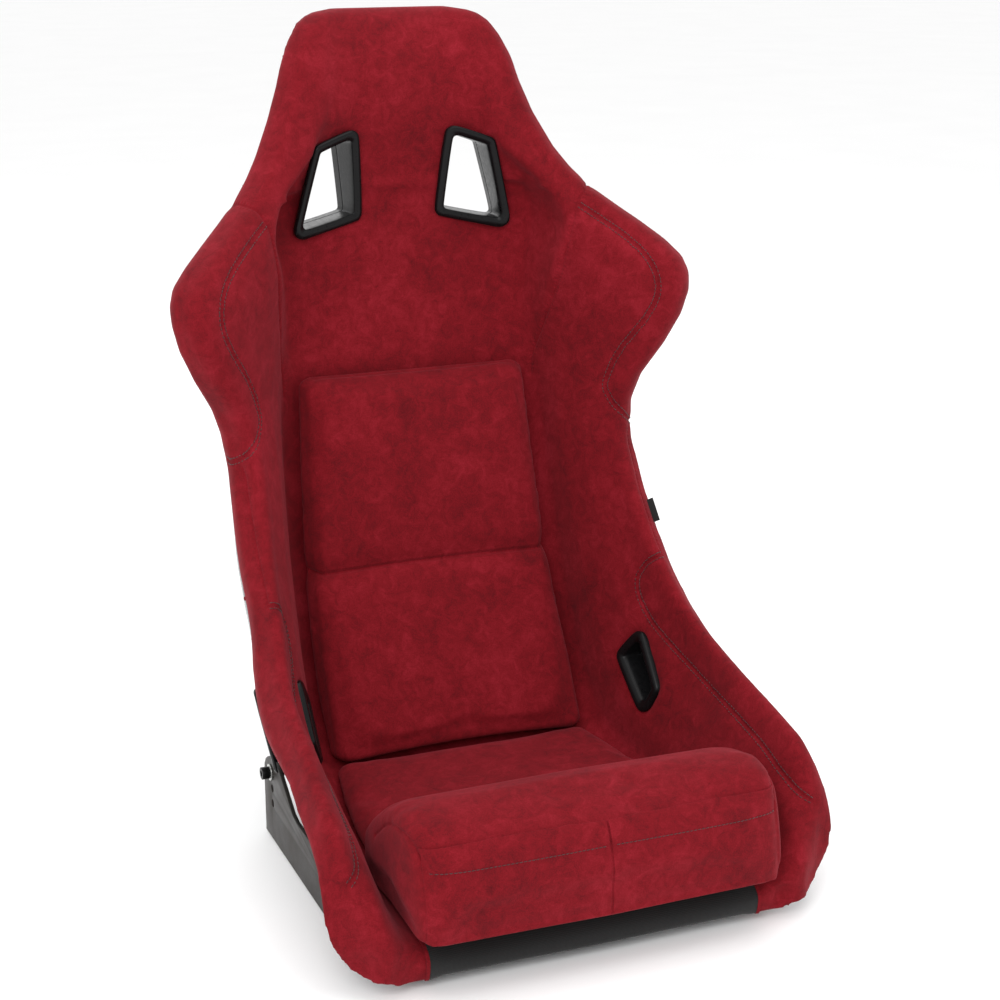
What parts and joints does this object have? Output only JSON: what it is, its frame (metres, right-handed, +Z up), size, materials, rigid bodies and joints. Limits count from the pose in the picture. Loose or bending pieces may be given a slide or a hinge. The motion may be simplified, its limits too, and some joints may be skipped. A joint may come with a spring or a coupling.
{
  "type": "racing seat",
  "caption": "Fixed-back racing bucket seat with winged head and shoulders, suede cover, loose cushions, harness slots and steel side brackets.",
  "frame": {"origin": "centre of the object's box, on the plane the bracket feet stand on", "axes": "+Z up; -Y the way the seat faces; +X to the left of a person sitting in it"},
  "size_m": [0.5714, 0.6237, 0.84],
  "materials": {
    "burgundy_suede": "short-napped micro-suede, mottled",
    "black_cloth": "matte woven cloth and hook-and-loop tape",
    "flake_gelcoat": "gloss gelcoat over glass fibre, fine pearl flake",
    "black_abs": "gloss moulded",
    "black_powder_coat": "fine-textured powder coat, semi-matte",
    "black_oxide_steel": "black oxide",
    "zinc_plated_steel": "bright zinc plate"
  },
  "bodies": {
    "seat": {"fibreglass_shell": "flake_gelcoat", "head_panel": "burgundy_suede", "back_liner": "burgundy_suede", "base_liner": "burgundy_suede", "front_lip_strip": "black_cloth", "side_panel_left": "burgundy_suede", "side_panel_right": "burgundy_suede", "wing_band_left": "burgundy_suede", "wing_band_right": "burgundy_suede", "hip_band_left": "burgundy_suede", "hip_band_right": "burgundy_suede", "shoulder_slot_left_bezel": "black_abs", "shoulder_slot_right_bezel": "black_abs", "shoulder_slot_left_rear_bezel": "black_abs", "shoulder_slot_right_rear_bezel": "black_abs", "lap_slot_left_bezel": "black_abs", "lap_slot_right_bezel": "black_abs", "lap_slot_left_rear_bezel": "black_abs", "lap_slot_right_rear_bezel": "black_abs", "side_bracket_left": "black_powder_coat", "side_bracket_right": "black_powder_coat", "bolt_front_left": "black_oxide_steel", "washer_front_left": "zinc_plated_steel", "spacer_bush_front_left": "zinc_plated_steel", "threaded_insert_front_left": "zinc_plated_steel", "bolt_front_right": "black_oxide_steel", "washer_front_right": "zinc_plated_steel", "spacer_bush_front_right": "zinc_plated_steel", "threaded_insert_front_right": "zinc_plated_steel", "bolt_rear_left": "black_oxide_steel", "washer_rear_left": "zinc_plated_steel", "spacer_bush_rear_left": "zinc_plated_steel", "threaded_insert_rear_left": "zinc_plated_steel", "bolt_rear_right": "black_oxide_steel", "washer_rear_right": "zinc_plated_steel", "spacer_bush_rear_right": "zinc_plated_steel", "threaded_insert_rear_right": "zinc_plated_steel", "woven_tag": "black_cloth", "back_hook_strip": "black_cloth", "base_hook_strip": "black_cloth", "thigh_hook_strip": "black_cloth"},
    "back_pad": {"back_cushion": "burgundy_suede", "back_loop_strip": "black_cloth"},
    "base_pad": {"base_cushion": "burgundy_suede", "base_loop_strip": "black_cloth"},
    "thigh_pad": {"thigh_cushion": "burgundy_suede", "pocket_panel_left": "burgundy_suede", "pocket_panel_right": "burgundy_suede", "thigh_loop_strip": "black_cloth"}
  },
  "joints": [
    {"name": "back_pad_lift", "type": "slide", "parent": "seat", "child": "back_pad", "axis": [0, -0.4983, 0.867], "range_m": [0, 0.3]},
    {"name": "base_pad_lift", "type": "slide", "parent": "seat", "child": "base_pad", "axis": [0, -0.2, 0.9798], "range_m": [0, 0.19]},
    {"name": "thigh_pad_lift", "type": "slide", "parent": "seat", "child": "thigh_pad", "axis": [0, -0.6392, 0.769], "range_m": [0, 0.2]}
  ]
}
